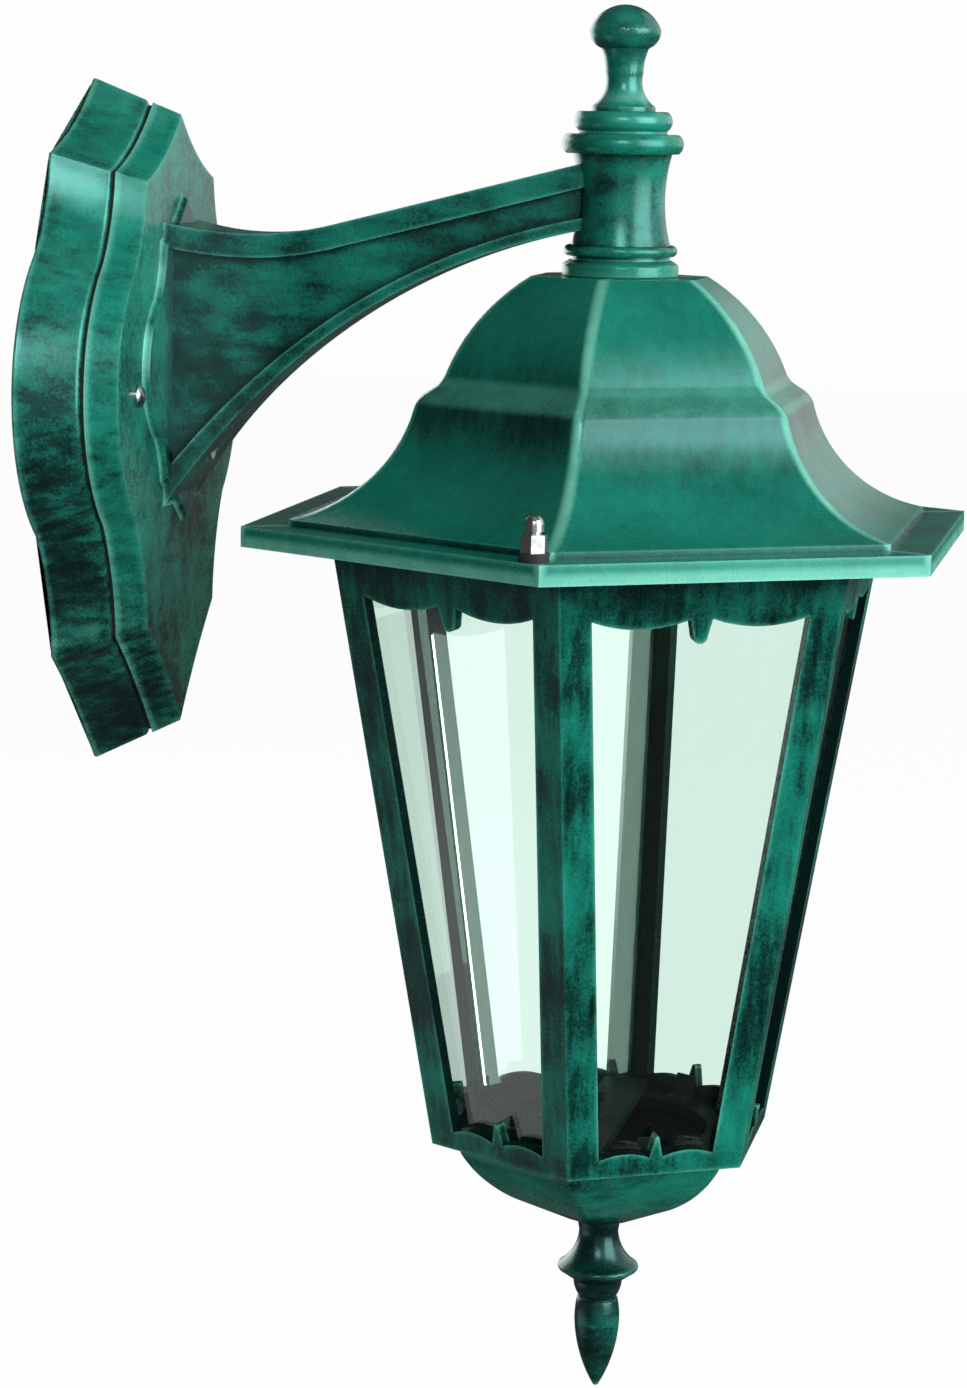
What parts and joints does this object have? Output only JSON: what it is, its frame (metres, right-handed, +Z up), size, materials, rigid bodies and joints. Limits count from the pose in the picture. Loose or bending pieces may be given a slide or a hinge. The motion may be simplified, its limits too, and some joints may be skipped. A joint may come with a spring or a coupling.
{
  "type": "wall_lantern",
  "caption": "Hexagonal wall lantern with a bell roof, tapered glazed cage and turned finials, hung from a curved arm on an ogee wall plate; holds a screw-cap lamp.",
  "frame": {"origin": "middle of the wall bracket's back face, on the wall plane", "axes": "+Y into the wall, +Z up, +X to the right for someone who faces the wall; the lantern stands out along -Y"},
  "size_m": [0.2012, 0.2301, 0.3697],
  "materials": {
    "green_enamel": "satin enamel, rubbed paler on the edges",
    "clear_glass": "clear, polished",
    "bright_steel": "plated",
    "zinc_steel": "zinc plated",
    "black_steel": "dark enamel, satin",
    "brass": "plain",
    "black_rubber": "matt",
    "black_plastic": "moulded, matt",
    "white_plastic": "moulded, matt",
    "white_ceramic": "unglazed"
  },
  "bodies": {
    "root": {"wall_box": "green_enamel", "front_plate": "green_enamel", "arm": "green_enamel", "neck_collar": "green_enamel", "top_finial": "green_enamel", "roof": "green_enamel", "cage": "green_enamel", "base_dish": "green_enamel", "bottom_finial": "green_enamel", "glass_pane_1": "clear_glass", "glass_pane_2": "clear_glass", "glass_pane_3": "clear_glass", "glass_pane_4": "clear_glass", "glass_pane_5": "clear_glass", "glass_pane_6": "clear_glass", "plate_screws": "bright_steel", "acorn_nuts": "bright_steel", "cage_studs": "bright_steel", "wall_bracket": "zinc_steel", "arm_bolts": "zinc_steel", "earth_screw": "zinc_steel", "threaded_nipple": "zinc_steel", "roof_nut": "zinc_steel", "roof_washer": "zinc_steel", "glass_clips": "black_steel", "base_bridge": "black_steel", "base_stud": "black_steel", "bridge_nut": "black_steel", "terminal_clamps": "brass", "screw_shell": "brass", "centre_contact": "brass", "plate_gasket": "black_rubber", "nut_washers": "black_rubber", "holder_cap": "black_plastic", "holder_skirt": "black_plastic", "terminal_block": "white_plastic", "holder_core": "white_ceramic"}
  },
  "joints": []
}
